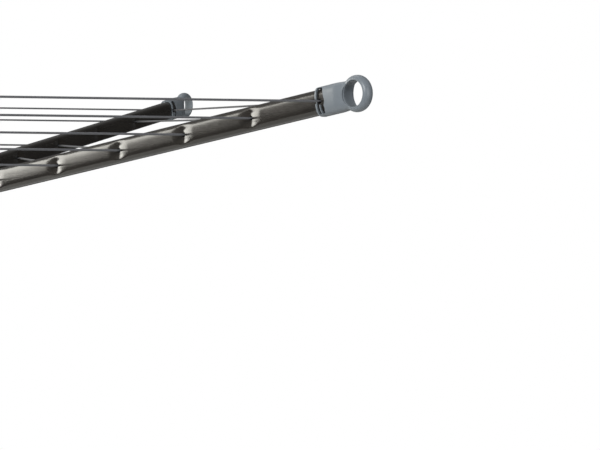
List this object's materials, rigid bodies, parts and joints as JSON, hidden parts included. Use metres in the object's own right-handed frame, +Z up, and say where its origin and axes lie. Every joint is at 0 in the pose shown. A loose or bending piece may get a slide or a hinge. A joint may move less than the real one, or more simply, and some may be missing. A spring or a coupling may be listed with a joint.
{
  "type": "ceiling mounted pulley rack",
  "caption": "Ceiling drying rack: ring-ended oval arms strung with a drying line, on a telescopic mast that a sprung pulley and cord raise and lower.",
  "frame": {"origin": "middle of the mast on the ceiling plate's top face, which lies against the ceiling", "axes": "+Z up into the ceiling; the arms spread as an X that is longer along Y; the pulley lies to +Y of the mast and its spring case to +X"},
  "size_m": [1.2382, 1.6976, 1.2939],
  "materials": {
    "black_tube": "satin black-bronze powder coat",
    "grey_plastic": "satin moulded",
    "dark_plastic": "satin moulded",
    "line_coating": "smooth extruded coating",
    "painted_steel": "satin powder coat",
    "bright_steel": "zinc-plated",
    "cord": "braided"
  },
  "bodies": {
    "ceiling_unit": {"ceiling_bracket": "painted_steel", "spacer_left": "dark_plastic", "spacer_right": "dark_plastic", "spring_case": "dark_plastic", "spring_cover": "grey_plastic", "spiral_spring": "bright_steel", "mast_socket": "grey_plastic", "socket_bolt_1": "bright_steel", "socket_bolt_2": "bright_steel", "socket_nut_1": "bright_steel", "socket_nut_2": "bright_steel", "mast_outer_tube": "black_tube", "clamp_collar_1": "grey_plastic", "lever_pin_1": "bright_steel"},
    "pulley": {"pulley_wheel": "grey_plastic", "pulley_shaft": "bright_steel", "cord_on_pulley": "cord"},
    "mast_middle": {"mast_middle_tube": "black_tube", "middle_guide_bush": "grey_plastic", "clamp_collar_2": "grey_plastic", "lever_pin_2": "bright_steel"},
    "mast_inner": {"mast_inner_tube": "black_tube", "inner_guide_bush": "grey_plastic", "mast_foot": "grey_plastic", "pull_knob": "dark_plastic", "cord_ferrule": "bright_steel", "hoist_cord": "cord"},
    "lever_upper": {"flip_lever_1": "dark_plastic"},
    "lever_lower": {"flip_lever_2": "dark_plastic"},
    "rack": {"hub_body": "grey_plastic", "hub_cap": "dark_plastic", "hub_bush": "dark_plastic", "drying_line": "line_coating", "line_stop_inner": "bright_steel", "line_stop_outer": "bright_steel", "arm_1": "black_tube", "arm_pin_1": "bright_steel", "ring_end_1": "grey_plastic", "arm_2": "black_tube", "arm_pin_2": "bright_steel", "ring_end_2": "grey_plastic", "arm_3": "black_tube", "arm_pin_3": "bright_steel", "ring_end_3": "grey_plastic", "arm_4": "black_tube", "arm_pin_4": "bright_steel", "ring_end_4": "grey_plastic"}
  },
  "joints": [
    {"name": "mast_lift", "type": "slide", "parent": "ceiling_unit", "child": "mast_middle", "axis": [0, 0, 1], "range_m": [0, 0.27], "deforming": ["hoist_cord"]},
    {"name": "mast_lift_lower", "type": "slide", "parent": "mast_middle", "child": "mast_inner", "axis": [0, 0, 1], "range_m": [0, 0.27]},
    {"name": "pulley_turn", "type": "hinge", "parent": "ceiling_unit", "child": "pulley", "pos_m": [0, 0.0295, -0.052], "axis": [-1, 0, 0], "range_deg": [0, 1060]},
    {"name": "rack_turn", "type": "hinge", "parent": "mast_inner", "child": "rack", "pos_m": [0, 0, -1.2], "axis": [0, 0, 1], "continuous": true},
    {"name": "upper_lever_flip", "type": "hinge", "parent": "ceiling_unit", "child": "lever_upper", "pos_m": [0, 0.0324, -0.506], "axis": [1, 0, 0], "range_deg": [0, 110]},
    {"name": "lower_lever_flip", "type": "hinge", "parent": "mast_middle", "child": "lever_lower", "pos_m": [0, 0.0289, -0.846], "axis": [1, 0, 0], "range_deg": [0, 110]}
  ],
  "couplings": [
    {"joint": "mast_lift_lower", "follows": "mast_lift", "ratio": 1},
    {"joint": "pulley_turn", "follows": "mast_lift", "rad_per_m": 67.797}
  ]
}
